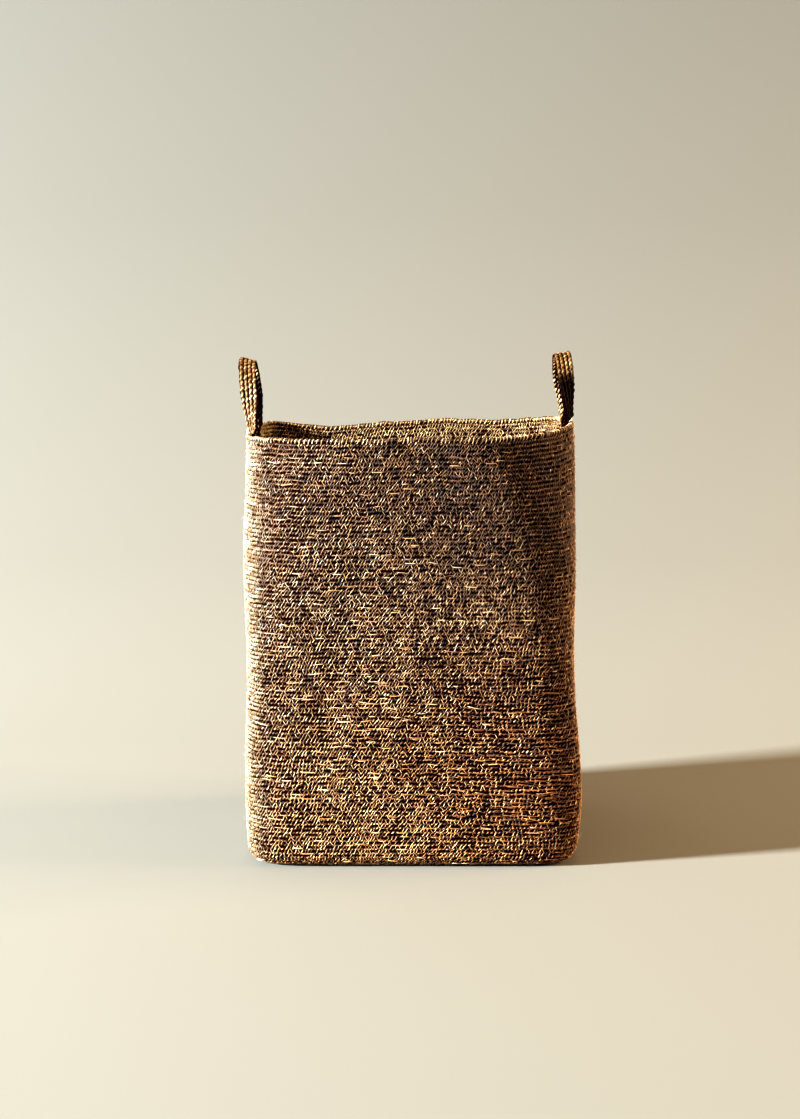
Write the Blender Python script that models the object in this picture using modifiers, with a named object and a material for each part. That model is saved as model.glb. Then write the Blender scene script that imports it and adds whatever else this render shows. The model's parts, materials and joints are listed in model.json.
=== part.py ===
"""Soft storage basket sewn from rows of fine seagrass braid, with two strap handles.

The origin is on the floor under the middle of the base. +Z is up, the front faces -Y,
and the handles stand over the left (-X) and right (+X) walls.
"""

import math

import bmesh
import bpy
from mathutils import Matrix, Vector

# Driving dimensions, in metres.
HEIGHT = 0.450  # floor to the top of the rim, before the rim's own rise and fall
WALL = 0.0050  # thickness of the braid, and so of the wall
RIM_ROW_RADIUS = 0.0023  # the last row of braid, along the top edge
FOOT_CURL = 0.016  # radius on which the lowest rows turn from the base up into the wall
GAP = 0.0003  # clearance between sewn pieces that touch
BASE_INSET = 0.0013  # the lowest row's inner edge leans this much over the base mat

# How far the wall reaches from the centre on each side, at KEY_SHARES of the height.
KEY_SHARES = (0.0, 0.17, 0.40, 1.0)
REACH = {
    "left": (0.1740, 0.1765, 0.1755, 0.1780),
    "right": (0.1785, 0.1830, 0.1765, 0.1790),
    "front": (0.1730, 0.1755, 0.1740, 0.1720),
    "back": (0.1730, 0.1755, 0.1740, 0.1720),
}

# Squareness of each corner in plan, as the exponent of a superellipse.
FOOT_SQUARENESS = 10.0
RIM_SQUARENESS = {"front_left": 3.5, "front_right": 2.7, "back_left": 8.0, "back_right": 5.0}

# The rim's rise and fall.
RIM_TILT = 0.0010  # the right side stands this much above the mean, the left side below
RIM_NOD = 0.0010  # the front stands this much above the mean, the back below
RIGHT_RISE = 0.0112  # the right handle has pulled the rim up
RIGHT_RISE_HALF_WIDTH = math.radians(70)
DIP_DEPTH = 0.0060
DIP_ANGLE = math.radians(114)  # the dip is in the back wall, left of its middle
DIP_HALF_WIDTH = math.radians(25)

# Handles: a flat strap of braids laid side by side.
STRAP_BRAIDS = 4
STRAP_PITCH = 0.0045  # spacing of the braids across the strap
STRAP_BRAID_RADIUS = 0.0021
HANDLE_RISE = {"left": 0.070, "right": 0.0635}  # hinge line to the middle of the strap at the crown
HANDLE_HALF_SPAN = 0.046  # half the distance between a handle's two feet
ARCH_SQUARENESS = 2.6
TWIST_END = 0.45  # share of the rise over which a leg turns from facing sideways to facing front
HANDLE_LEAN = {"left": -0.0075, "right": -0.0050}  # both crowns stand this much to the left of their feet
CROWN_TILT = {"left": math.radians(15), "right": math.radians(-9)}
HINGE_ABOVE_RIM = 0.0052

# The strap's sewn ends, inside the wall, and the twine that lashes them to it.
TAIL_LENGTH = 0.042
TAIL_THICKNESS = 0.0046
TAIL_WALL_GAP = 0.0006
TAIL_ABOVE_RIM = 0.0012
TWINE_RADIUS = 0.0008
LASHING_TOP = 0.011  # below the rim
LASHING_PITCH = 0.011
LASHING_TURNS = 2

# Mesh resolution.
WALL_POINTS = 52
CORNER_CROWDING = 0.17  # how strongly the outline's points gather at the four corners
WALL_SHARES = (0.10, 0.18, 0.32, 0.48, 0.64, 0.82, 1.0)
CURL_STEPS = 4
ARCH_STEPS = 22
TWINE_BEND_STEPS = 2
CORD_ROUNDNESS = 1

SIDE_SIGN = {"left": -1.0, "right": 1.0}
END_SIGN = {"front": -1.0, "back": 1.0}


# ---------------------------------------------------------------- scene helpers


def clear_scene():
    for item in list(bpy.data.objects):
        bpy.data.objects.remove(item)


def new_collection(name):
    collection = bpy.data.collections.new(name)
    bpy.context.scene.collection.children.link(collection)
    return collection


def new_material(name, colour, roughness):
    material = bpy.data.materials.new(name)
    material.use_nodes = True
    shader = material.node_tree.nodes["Principled BSDF"]
    shader.inputs["Base Color"].default_value = (*colour, 1.0)
    shader.inputs["Roughness"].default_value = roughness
    shader.inputs["Metallic"].default_value = 0.0
    return material


def place(item, collection, material=None):
    """Moves an object into its collection and gives it its material."""
    for holder in list(item.users_collection):
        holder.objects.unlink(item)
    collection.objects.link(item)
    if material is not None:
        item.data.materials.clear()
        item.data.materials.append(material)
    return item


def tube(name, points, radius, cyclic=False):
    """A cord along the points, as a curve with a round bevel and filled caps."""
    curve = bpy.data.curves.new(name, "CURVE")
    curve.dimensions = "3D"
    curve.bevel_depth = radius
    curve.bevel_resolution = CORD_ROUNDNESS
    curve.use_fill_caps = not cyclic
    spline = curve.splines.new("POLY")
    spline.points.add(len(points) - 1)
    for knot, point in zip(spline.points, points):
        knot.co = (*point, 1.0)
    spline.use_cyclic_u = cyclic
    return bpy.data.objects.new(name, curve)


def slab(name, size, centre, rounding):
    """A block with rounded edges."""
    bpy.ops.mesh.primitive_cube_add(size=1.0)
    item = bpy.context.active_object
    item.name = name
    item.data.transform(Matrix.Diagonal((*size, 1.0)))
    item.location = centre
    if rounding > 0.0:
        bevel = item.modifiers.new("rounded_edges", "BEVEL")
        bevel.width = rounding
        bevel.segments = 2
    return item


# ---------------------------------------------------------------- shape of the basket


def smooth(share):
    share = min(max(share, 0.0), 1.0)
    return share * share * (3.0 - 2.0 * share)


def reach(side, share):
    """Half-width of the basket towards one side, at a share of its height."""
    values = REACH[side]
    for low in range(len(KEY_SHARES) - 1):
        if share <= KEY_SHARES[low + 1]:
            break
    part = (share - KEY_SHARES[low]) / (KEY_SHARES[low + 1] - KEY_SHARES[low])
    return values[low] + (values[low + 1] - values[low]) * smooth(part)


def outline_point(angle, share, inset=0.0):
    """Point of the basket's plan outline in the direction of an angle, drawn in by the inset."""
    cosine, sine = math.cos(angle), math.sin(angle)
    across = "right" if cosine >= 0.0 else "left"
    along = "back" if sine >= 0.0 else "front"
    rim_squareness = RIM_SQUARENESS[along + "_" + across]
    squareness = FOOT_SQUARENESS + (rim_squareness - FOOT_SQUARENESS) * share
    x_part = abs(cosine) / (reach(across, share) - inset)
    y_part = abs(sine) / (reach(along, share) - inset)
    radius = (x_part**squareness + y_part**squareness) ** (-1.0 / squareness)
    return radius * cosine, radius * sine


def side_face(side, end, along, inset):
    """How far out a side wall's face is at the rim, at a distance forward or back of its middle."""
    squareness = RIM_SQUARENESS[end + "_" + side]
    part = along / (reach(end, 1.0) - inset)
    return (reach(side, 1.0) - inset) * (1.0 - part**squareness) ** (1.0 / squareness)


def rim_offset(angle):
    """Height of the rim above its mean, in the direction of an angle."""
    tilt = RIM_TILT * math.cos(angle) - RIM_NOD * math.sin(angle)
    from_right = abs(math.remainder(angle, 2.0 * math.pi)) / RIGHT_RISE_HALF_WIDTH
    from_dip = abs(math.remainder(angle - DIP_ANGLE, 2.0 * math.pi)) / DIP_HALF_WIDTH
    return tilt + RIGHT_RISE * smooth(1.0 - from_right) - DIP_DEPTH * smooth(1.0 - from_dip)


def rim_height(angle):
    return HEIGHT + rim_offset(angle)


def ring_angles():
    """Directions of the outline's points, closer together at the corners than along the sides."""
    even = [2.0 * math.pi * step / WALL_POINTS for step in range(WALL_POINTS)]
    return [angle + CORNER_CROWDING * math.sin(4.0 * angle) for angle in even]


# ---------------------------------------------------------------- parts


def wall_rings():
    """Rings of the wall's outer face, from the floor up to just under the rim row."""
    rings = []
    for step in range(CURL_STEPS):
        bend = 0.5 * math.pi * step / CURL_STEPS
        height = FOOT_CURL * (1.0 - math.cos(bend))
        inset = FOOT_CURL * (1.0 - math.sin(bend))
        ring = [
            Vector((*outline_point(angle, height / HEIGHT, inset), height))
            for angle in ring_angles()
        ]
        rings.append(ring)
    for share in WALL_SHARES:
        ring = []
        for angle in ring_angles():
            top = HEIGHT - 2.0 * RIM_ROW_RADIUS - GAP + rim_offset(angle) * share
            ring.append(Vector((*outline_point(angle, share), top * share)))
        rings.append(ring)
    return rings


def make_wall(collection, cutters, material):
    """The wall: one long braid wound round and round and sewn to itself."""
    shell = bmesh.new()
    rings = [[shell.verts.new(point) for point in ring] for ring in wall_rings()]
    for lower, upper in zip(rings, rings[1:]):
        for step in range(WALL_POINTS):
            after = (step + 1) % WALL_POINTS
            shell.faces.new((lower[step], lower[after], upper[after], upper[step]))
    mesh = bpy.data.meshes.new("wall")
    shell.to_mesh(mesh)
    shell.free()
    wall = place(bpy.data.objects.new("wall", mesh), collection, material)
    thickness = wall.modifiers.new("braid_thickness", "SOLIDIFY")
    thickness.thickness = WALL
    thickness.offset = -1.0
    thickness.use_even_offset = True
    for cutter in cutters:
        slot = wall.modifiers.new(cutter.name, "BOOLEAN")
        slot.operation = "DIFFERENCE"
        slot.solver = "EXACT"
        slot.object = cutter
    mesh.shade_smooth()
    mesh.set_sharp_from_angle(angle=math.radians(50))
    return wall


def make_base(collection, material):
    """The base mat: a braid coiled flat in a rounded square."""
    curve = bpy.data.curves.new("base_mat", "CURVE")
    curve.dimensions = "2D"
    curve.fill_mode = "BOTH"
    curve.extrude = WALL / 2
    spline = curve.splines.new("POLY")
    spline.points.add(WALL_POINTS - 1)
    for knot, angle in zip(spline.points, ring_angles()):
        knot.co = (*outline_point(angle, 0.0, FOOT_CURL + BASE_INSET + GAP), 0.0, 1.0)
    spline.use_cyclic_u = True
    base = place(bpy.data.objects.new("base_mat", curve), collection, material)
    base.location.z = WALL / 2
    return base


def make_rim(collection, material):
    """The last row of braid, whip-stitched along the top edge."""
    points = []
    for angle in ring_angles():
        height = rim_height(angle) - RIM_ROW_RADIUS
        points.append((*outline_point(angle, 1.0, WALL / 2), height))
    rim = tube("rim_row", points, RIM_ROW_RADIUS, cyclic=True)
    return place(rim, collection, material)


def hinge_point(side):
    """Middle of a handle's hinge line, just above the rim and inside the wall."""
    sign = SIDE_SIGN[side]
    angle = 0.0 if sign > 0.0 else math.pi
    inward = WALL + TAIL_WALL_GAP + TAIL_THICKNESS / 2
    across = sign * (reach(side, 1.0) - inward)
    return Vector((across, 0.0, rim_height(angle) + HINGE_ABOVE_RIM))


def strap_frame(side, turn):
    """Centre of the strap and its width direction, at a turn from 0 (front foot) to pi (back)."""
    power = 2.0 / ARCH_SQUARENESS
    cosine, sine = math.cos(turn), max(math.sin(turn), 0.0)
    along = -math.copysign(abs(cosine) ** power, cosine) * HANDLE_HALF_SPAN
    rise = sine**power * HANDLE_RISE[side]
    raised = rise / HANDLE_RISE[side]
    centre = hinge_point(side) + Vector((HANDLE_LEAN[side] * raised, along, rise))
    tangent = Vector((0.0, HANDLE_HALF_SPAN * sine, HANDLE_RISE[side] * cosine)).normalized()
    twist = math.copysign(0.5 * math.pi, cosine) * (1.0 - smooth(raised / TWIST_END))
    tilt = CROWN_TILT[side] * smooth(raised)
    flat = Vector((math.cos(tilt), 0.0, -math.sin(tilt)))
    flat = (flat - tangent * flat.dot(tangent)).normalized()
    width = Matrix.Rotation(twist, 3, tangent) @ flat
    return centre, width


def make_strap(side, hinge, collection, material):
    """One handle: braids side by side, up from the front foot, over the crown and down."""
    frames = [strap_frame(side, math.pi * step / ARCH_STEPS) for step in range(ARCH_STEPS + 1)]
    for braid in range(STRAP_BRAIDS):
        offset = (braid - (STRAP_BRAIDS - 1) / 2) * STRAP_PITCH
        points = [centre + width * offset - hinge.location for centre, width in frames]
        name = f"{side}_handle_braid_{braid + 1}"
        row = place(tube(name, points, STRAP_BRAID_RADIUS), collection, material)
        row.parent = hinge


def make_hinge(side, collection):
    """Empty on a handle's hinge line, which the handle's braids are parented to."""
    hinge = bpy.data.objects.new(f"{side}_handle_hinge", None)
    hinge.location = hinge_point(side)
    return place(hinge, collection)


def tail_centre(side, end):
    far_edge = HANDLE_HALF_SPAN + strap_width() / 2
    inner_face = side_face(side, end, far_edge, WALL)
    middle = hinge_point(side)
    middle.x = SIDE_SIGN[side] * (inner_face - TAIL_WALL_GAP - TAIL_THICKNESS / 2)
    middle.y = END_SIGN[end] * HANDLE_HALF_SPAN
    middle.z += TAIL_ABOVE_RIM - HINGE_ABOVE_RIM - TAIL_LENGTH / 2
    return middle


def strap_width():
    return (STRAP_BRAIDS - 1) * STRAP_PITCH + 2.0 * STRAP_BRAID_RADIUS


def make_tail(side, end, collection, material):
    """The sewn-down end of a handle, flat against the inside of the wall."""
    size = (TAIL_THICKNESS, strap_width(), TAIL_LENGTH)
    name = f"{side}_handle_{end}_tail"
    tail = slab(name, size, tail_centre(side, end), TAIL_THICKNESS / 3)
    return place(tail, collection, material)


def lashing_reach(side, end):
    """How far the twine's middle is from the tail's middle: inward, outward and to each side."""
    inward = TAIL_THICKNESS / 2 + GAP + TWINE_RADIUS
    outer_face = side_face(side, end, HANDLE_HALF_SPAN - strap_width() / 2, 0.0)
    outward = outer_face - abs(tail_centre(side, end).x) + 2.0 * TWINE_RADIUS + GAP
    sideways = strap_width() / 2 + GAP + TWINE_RADIUS
    return inward, outward, sideways


def make_lashing(side, end, collection, material):
    """Twine wound round a tail and through the wall."""
    sign = SIDE_SIGN[side]
    inward, outward, sideways = lashing_reach(side, end)
    centre = tail_centre(side, end)
    top = rim_height(0.0 if sign > 0.0 else math.pi) - LASHING_TOP
    bend = 2.0 * TWINE_RADIUS
    corners = ((-inward, 1.0), (outward, 1.0), (outward, -1.0), (-inward, -1.0))
    loop = []
    for number, (across, flank) in enumerate(corners):
        middle_x = across - math.copysign(bend, across)
        middle_y = flank * (sideways - bend)
        start = math.pi - 0.5 * math.pi * number
        for step in range(TWINE_BEND_STEPS + 1):
            turn = start - 0.5 * math.pi * step / TWINE_BEND_STEPS
            loop.append((middle_x + bend * math.cos(turn), middle_y + bend * math.sin(turn)))
    points = []
    for number in range(len(loop) * LASHING_TURNS):
        across, along = loop[number % len(loop)]
        drop = LASHING_PITCH * number / len(loop)
        points.append((centre.x + sign * across, centre.y + along, top - drop))
    name = f"{side}_handle_{end}_lashing"
    return place(tube(name, points, TWINE_RADIUS), collection, material)


def make_lashing_slots(side, end, collection):
    """Cutters for the two places where a lashing passes through the wall."""
    sign = SIDE_SIGN[side]
    sideways = lashing_reach(side, end)[2]
    drop = LASHING_PITCH * LASHING_TURNS
    centre = tail_centre(side, end)
    top = rim_height(0.0 if sign > 0.0 else math.pi) - LASHING_TOP
    size = (6.0 * WALL, 2.0 * (TWINE_RADIUS + GAP), drop + 2.0 * (TWINE_RADIUS + GAP))
    slots = []
    for flank, flank_sign in END_SIGN.items():
        along = centre.y + flank_sign * sideways
        middle = (centre.x + sign * 2.0 * WALL, along, top - drop / 2)
        name = f"cut_{side}_{end}_{flank}"
        slot = place(slab(name, size, middle, 0.0), collection)
        slot.hide_render = True
        slot.display_type = "WIRE"
        slots.append(slot)
    return slots


def main():
    clear_scene()
    parts = new_collection("seagrass_storage_basket")
    cutters = new_collection("cutters")
    grass = new_material("seagrass_braid", (0.42, 0.27, 0.13), 0.75)
    base_grass = new_material("seagrass_base", (0.36, 0.22, 0.11), 0.80)
    rim_grass = new_material("seagrass_rim", (0.46, 0.31, 0.16), 0.75)
    strap_grass = new_material("seagrass_strap", (0.40, 0.26, 0.14), 0.75)
    twine = new_material("sewing_twine", (0.62, 0.48, 0.30), 0.80)

    slots = []
    for side in SIDE_SIGN:
        make_strap(side, make_hinge(side, parts), parts, strap_grass)
        for end in END_SIGN:
            make_tail(side, end, parts, strap_grass)
            make_lashing(side, end, parts, twine)
            slots += make_lashing_slots(side, end, cutters)
    make_wall(parts, slots, grass)
    make_base(parts, base_grass)
    make_rim(parts, rim_grass)


main()
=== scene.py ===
"""Looks of the seagrass storage basket.

Every row of cord is real twisted geometry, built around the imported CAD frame.
"""
import json
import math

import bpy
import numpy as np
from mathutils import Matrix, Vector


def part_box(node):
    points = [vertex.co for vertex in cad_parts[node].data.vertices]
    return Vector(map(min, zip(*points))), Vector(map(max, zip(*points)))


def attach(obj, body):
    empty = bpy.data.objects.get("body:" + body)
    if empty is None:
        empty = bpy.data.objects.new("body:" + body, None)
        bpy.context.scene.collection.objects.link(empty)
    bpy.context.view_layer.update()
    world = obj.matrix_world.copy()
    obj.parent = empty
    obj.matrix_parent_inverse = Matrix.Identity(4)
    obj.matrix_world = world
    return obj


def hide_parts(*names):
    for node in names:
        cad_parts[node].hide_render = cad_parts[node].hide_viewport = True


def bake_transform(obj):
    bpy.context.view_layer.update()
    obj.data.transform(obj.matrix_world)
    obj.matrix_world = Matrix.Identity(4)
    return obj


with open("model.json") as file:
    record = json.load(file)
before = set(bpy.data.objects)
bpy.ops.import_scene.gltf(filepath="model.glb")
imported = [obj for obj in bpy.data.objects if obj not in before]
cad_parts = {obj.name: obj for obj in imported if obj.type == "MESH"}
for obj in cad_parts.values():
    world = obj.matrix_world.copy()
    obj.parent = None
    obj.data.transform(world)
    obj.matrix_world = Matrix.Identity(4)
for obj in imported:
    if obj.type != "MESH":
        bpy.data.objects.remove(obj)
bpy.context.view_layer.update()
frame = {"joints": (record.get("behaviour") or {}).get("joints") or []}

# Shape of the basket, in metres, the same driving dimensions as the CAD wall.
HEIGHT = 0.450
WALL = 0.0050
RIM_ROW_RADIUS = 0.0023
FOOT_CURL = 0.016
KEY_SHARES = (0.0, 0.17, 0.40, 1.0)
REACH = {
    "left": (0.1740, 0.1765, 0.1755, 0.1780),
    "right": (0.1785, 0.1830, 0.1765, 0.1790),
    "front": (0.1730, 0.1755, 0.1740, 0.1720),
    "back": (0.1730, 0.1755, 0.1740, 0.1720),
}
FOOT_SQUARENESS = 10.0
RIM_SQUARENESS = {"front": (3.5, 2.7), "back": (8.0, 5.0)}  # of the left and right corners
RIM_TILT = 0.0010
RIM_NOD = 0.0010
RIGHT_RISE = 0.0112
RIGHT_RISE_HALF_WIDTH = math.radians(70)
DIP_DEPTH = 0.0060
DIP_ANGLE = math.radians(114)
DIP_HALF_WIDTH = math.radians(25)

# Handles.
STRAP_BRAIDS = 4
STRAP_PITCH = 0.0045
HANDLE_RISE = {"left": 0.070, "right": 0.0635}
HANDLE_HALF_SPAN = 0.046
ARCH_SQUARENESS = 2.6
TWIST_END = {"left": 0.62, "right": 0.85}
# How far the front leg and the back leg have turned where they meet the rim.
FOOT_TURN = {"left": (math.radians(52), math.radians(66)), "right": (math.radians(62), math.radians(76))}
FOOT_DROP = 0.010
HANDLE_LEAN = {"left": -0.0075, "right": -0.0050}
CROWN_TILT = {"left": math.radians(15), "right": math.radians(-9)}
TAIL_LENGTH = 0.042
STRAP_TWIST_PITCH = 0.0125
STRAP_TONE = {"left": 0.54, "right": 0.46}
BAND_THICK = 0.0010  # half the thickness of the dark band between the cords, a sheet of painted shade
BAND_WIDE = 1.9 * STRAP_PITCH
BAND_TONE = 0.1
LEG_SHADE_TONE = 0.30  # how much painted shade darkens one leg of each strap
LEG_SHADE = 0.45
LASHING_SNUG = 0.0038  # the twine is pulled this much closer to the wall than the CAD twine
LASHING_TURNS = 2
LASHING_SQUARENESS = 0.35  # less than 1 squares the loops of twine
LASHING_SCALE = 0.42  # size of the twine beside the wall's cord
TWINE_MARGIN = 0.0008  # the twine's middle line is this far inside the CAD twine's box

# The cord: two plies of grass twisted together.
ROW_PITCH = 0.00455
TWIST_PITCH = 0.0073  # length of cord in which a ply goes once round
PLY_ORBIT_ACROSS = 0.00125
PLY_ORBIT_DEEP = 0.00150
PLY_THICK = 0.00078  # half the ply's thickness, away from the cord's middle
PLY_WIDE = 0.00104  # half the ply's width
ROUND_TWISTS = 188  # twists in one row, the same in every row, so that the stitches line up
PLY_SIDES = 4
PLY_UNEVENNESS = 0.05
STITCH_UNEVENNESS = 0.09  # how much one stitch stands out more than the next, as a share
BLADE_LENGTH = 0.018  # length of cord in which one blade of grass gives way to the next
HOLE_DEPTH = 0.00124  # faces no farther than this from a row's middle plane get the darkest painted shade
CREST_DEPTH = 0.00216  # and faces this far from it get no painted shade
ROW_LEAN = 0.00135  # how far to the right a stitch sits from the one below it
LEAN_WANDER = 0.8  # radians of twist by which rows differ from that lean
WALL_TONE = (0.525, 0.030)  # middle and spread, from row to row
STEPS_PER_TWIST = 8
RING_SAMPLES = 720
PROBE = 0.002  # small step that finds a direction on the wall
ROWS_PER_PIECE = 8

# Low on the right of the front the twist is loose, and its strands lie almost level.
LOOSE_TWIST = 0.26
LOOSE_ANGLE = math.radians(-55)
LOOSE_HALF_WIDTH = math.radians(60)
LOOSE_HEIGHT = 0.12
LOOSE_HALF_HEIGHT = 0.16

# Thin strands that cross from each row to the next.
STITCH_ROWS_PER_PIECE = 12
STITCH_SHARE = 0.76  # share of the places between twists that have a strand across
STITCH_RUN = 0.0026  # how far along the row a strand goes while it crosses to the next
ODD_LEANS = 0.45  # share of the strands that lean to the right whatever their neighbours do
STITCH_TONE = (0.665, 0.24)  # middle and spread

# Blades that lie loose over the outer face: everywhere, and more in two places on the front.
# Angle, height share and tone are each a middle and a spread.
LOOSE_BLADES = (
    {"number": 1000, "slant": -0.05, "thickness": 1.0, "tone": (0.70, 0.22)},
    {
        "number": 1000, "slant": -0.13, "thickness": 0.7, "tone": (0.42, 0.14),
        "angle": (math.radians(-55), math.radians(17)), "height": (0.25, 0.13),
    },
    {
        "number": 110, "slant": -0.02, "thickness": 0.8, "tone": (0.80, 0.16),
        "angle": (math.radians(-112), math.radians(13)), "height": (0.40, 0.13),
    },
)
MEAN_RADIUS = 0.19  # turns a blade's length into an angle around the basket

# The strand whipped round the rim row.
WHIP_PITCH = 0.0046
WHIP_HIGH = 0.0027
WHIP_DEEP = 0.0026
WHIP_THICK = 0.00028
WHIP_DROP = 0.0006  # the whipping's middle is this far below the row's
WHIP_TONE = (0.95, 0.20)  # middle and spread

FIBRES = 900
FIBRE_RINGS = 39  # heights at which hairs start
FIBRE_THICK = 0.00013
BASE_SCALE = 1.12  # size of the base's cord beside the wall's
BASE_TONE = 0.60
BASE_CORE_SQUARENESS = 2.2
SHADE_SHELL_HALF = 0.00030  # half the thickness of the near-black shells of painted shade inside the wall and the base
SHADE_SHELL_SQUARENESS = 6.0

SIDES = {"left": -1.0, "right": 1.0}
ENDS = {"front": -1.0, "back": 1.0}
rng = np.random.default_rng(7)


# ---- basket surface


def smooth(value):
    value = np.clip(value, 0.0, 1.0)
    return value * value * (3.0 - 2.0 * value)


def reach(side, share):
    """Half-width of the basket towards one side, at shares of its height."""
    values = REACH[side]
    result = np.full_like(share, values[0])
    for low in range(len(KEY_SHARES) - 1):
        part = (share - KEY_SHARES[low]) / (KEY_SHARES[low + 1] - KEY_SHARES[low])
        result = result + (values[low + 1] - values[low]) * smooth(part)
    return result


def plan_point(angle, share, inset, squareness=None):
    """Points of the plan outline in the direction of the angles, drawn in by the insets."""
    cosine, sine = np.cos(angle), np.sin(angle)
    across = np.where(cosine >= 0.0, reach("right", share), reach("left", share)) - inset
    along = np.where(sine >= 0.0, reach("back", share), reach("front", share)) - inset
    if squareness is None:
        front, back = (np.where(cosine < 0.0, *RIM_SQUARENESS[end]) for end in ("front", "back"))
        rim = np.where(sine >= 0.0, back, front)
        squareness = FOOT_SQUARENESS + (rim - FOOT_SQUARENESS) * share
    x_part = (np.abs(cosine) / across) ** squareness
    y_part = (np.abs(sine) / along) ** squareness
    radius = (x_part + y_part) ** (-1.0 / squareness)
    return np.stack([radius * cosine, radius * sine], axis=-1)


def apart(angle, other):
    """How far apart two directions are, whichever way round is shorter."""
    return np.abs(np.remainder(angle - other + math.pi, math.tau) - math.pi)


def rim_offset(angle):
    tilt = RIM_TILT * np.cos(angle) - RIM_NOD * np.sin(angle)
    from_right = apart(angle, 0.0) / RIGHT_RISE_HALF_WIDTH
    from_dip = apart(angle, DIP_ANGLE) / DIP_HALF_WIDTH
    return tilt + RIGHT_RISE * smooth(1.0 - from_right) - DIP_DEPTH * smooth(1.0 - from_dip)


class Waves:
    """Smooth random field on the wall, periodic around it: a sum of slanting waves."""

    def __init__(self, count, most_around, most_up, amplitude):
        self.around = rng.integers(1, most_around + 1, count)
        self.up = rng.uniform(-most_up, most_up, count)
        self.phase = rng.uniform(0.0, math.tau, count)
        self.amplitude = amplitude * math.sqrt(2.0 / count)

    def at(self, angle, height):
        total = np.zeros_like(angle)
        for around, up, phase in zip(self.around, self.up, self.phase):
            total = total + np.sin(around * angle + up * height + phase)
        return total * self.amplitude


dents = Waves(count=14, most_around=9, most_up=40.0, amplitude=0.0011)
row_wander = Waves(count=24, most_around=60, most_up=160.0, amplitude=0.00034)
rim_wander = Waves(count=10, most_around=14, most_up=1.0, amplitude=0.0007)
twist_wander = Waves(count=14, most_around=26, most_up=70.0, amplitude=0.75)


def outer_point(angle, distance):
    """Points of the wall's outer face: distance is measured up the profile from the base's edge."""
    bend = np.clip(distance / FOOT_CURL, 0.0, 0.5 * math.pi)
    inset = FOOT_CURL * (1.0 - np.sin(bend))
    level = FOOT_CURL * (1.0 - np.cos(bend)) + np.maximum(distance - 0.5 * math.pi * FOOT_CURL, 0.0)
    share = level / HEIGHT
    plan = plan_point(angle, share, inset)
    calm = smooth(level / 0.05)
    bump = dents.at(angle, level) * calm
    direction = np.stack([np.cos(angle), np.sin(angle)], axis=-1)
    plan = plan + direction * bump[..., None]
    height = level + rim_offset(angle) * share**2 + rim_wander.at(angle, level) * share**4
    height = height + row_wander.at(angle, level) * calm
    return np.concatenate([plan, height[..., None]], axis=-1)


def unit(vectors):
    return vectors / np.linalg.norm(vectors, axis=-1, keepdims=True)


def ring_angles():
    """Angles once round the basket, closer together at its corners."""
    angle = np.linspace(0.0, math.tau, RING_SAMPLES + 1)
    return angle + 0.17 * np.sin(4.0 * angle)


def ring_tangent(points):
    """Direction along a closed ring whose last point is its first again."""
    tangent = np.gradient(points, axis=0)
    tangent[0] = tangent[-1] = points[1] - points[-2]
    return unit(tangent)


def wall_ring(distance, depth):
    """Centre line and frame of one closed row, depth below the wall's outer face."""
    angle = ring_angles()
    here = outer_point(angle, np.full_like(angle, distance))
    above = outer_point(angle, np.full_like(angle, distance + PROBE))
    tangent = ring_tangent(here)
    upward = unit(above - here)
    outward = unit(np.cross(tangent, upward))
    upward = np.cross(outward, tangent)
    return here - outward * depth, tangent, upward, outward, angle


# ---- mesh building


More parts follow.
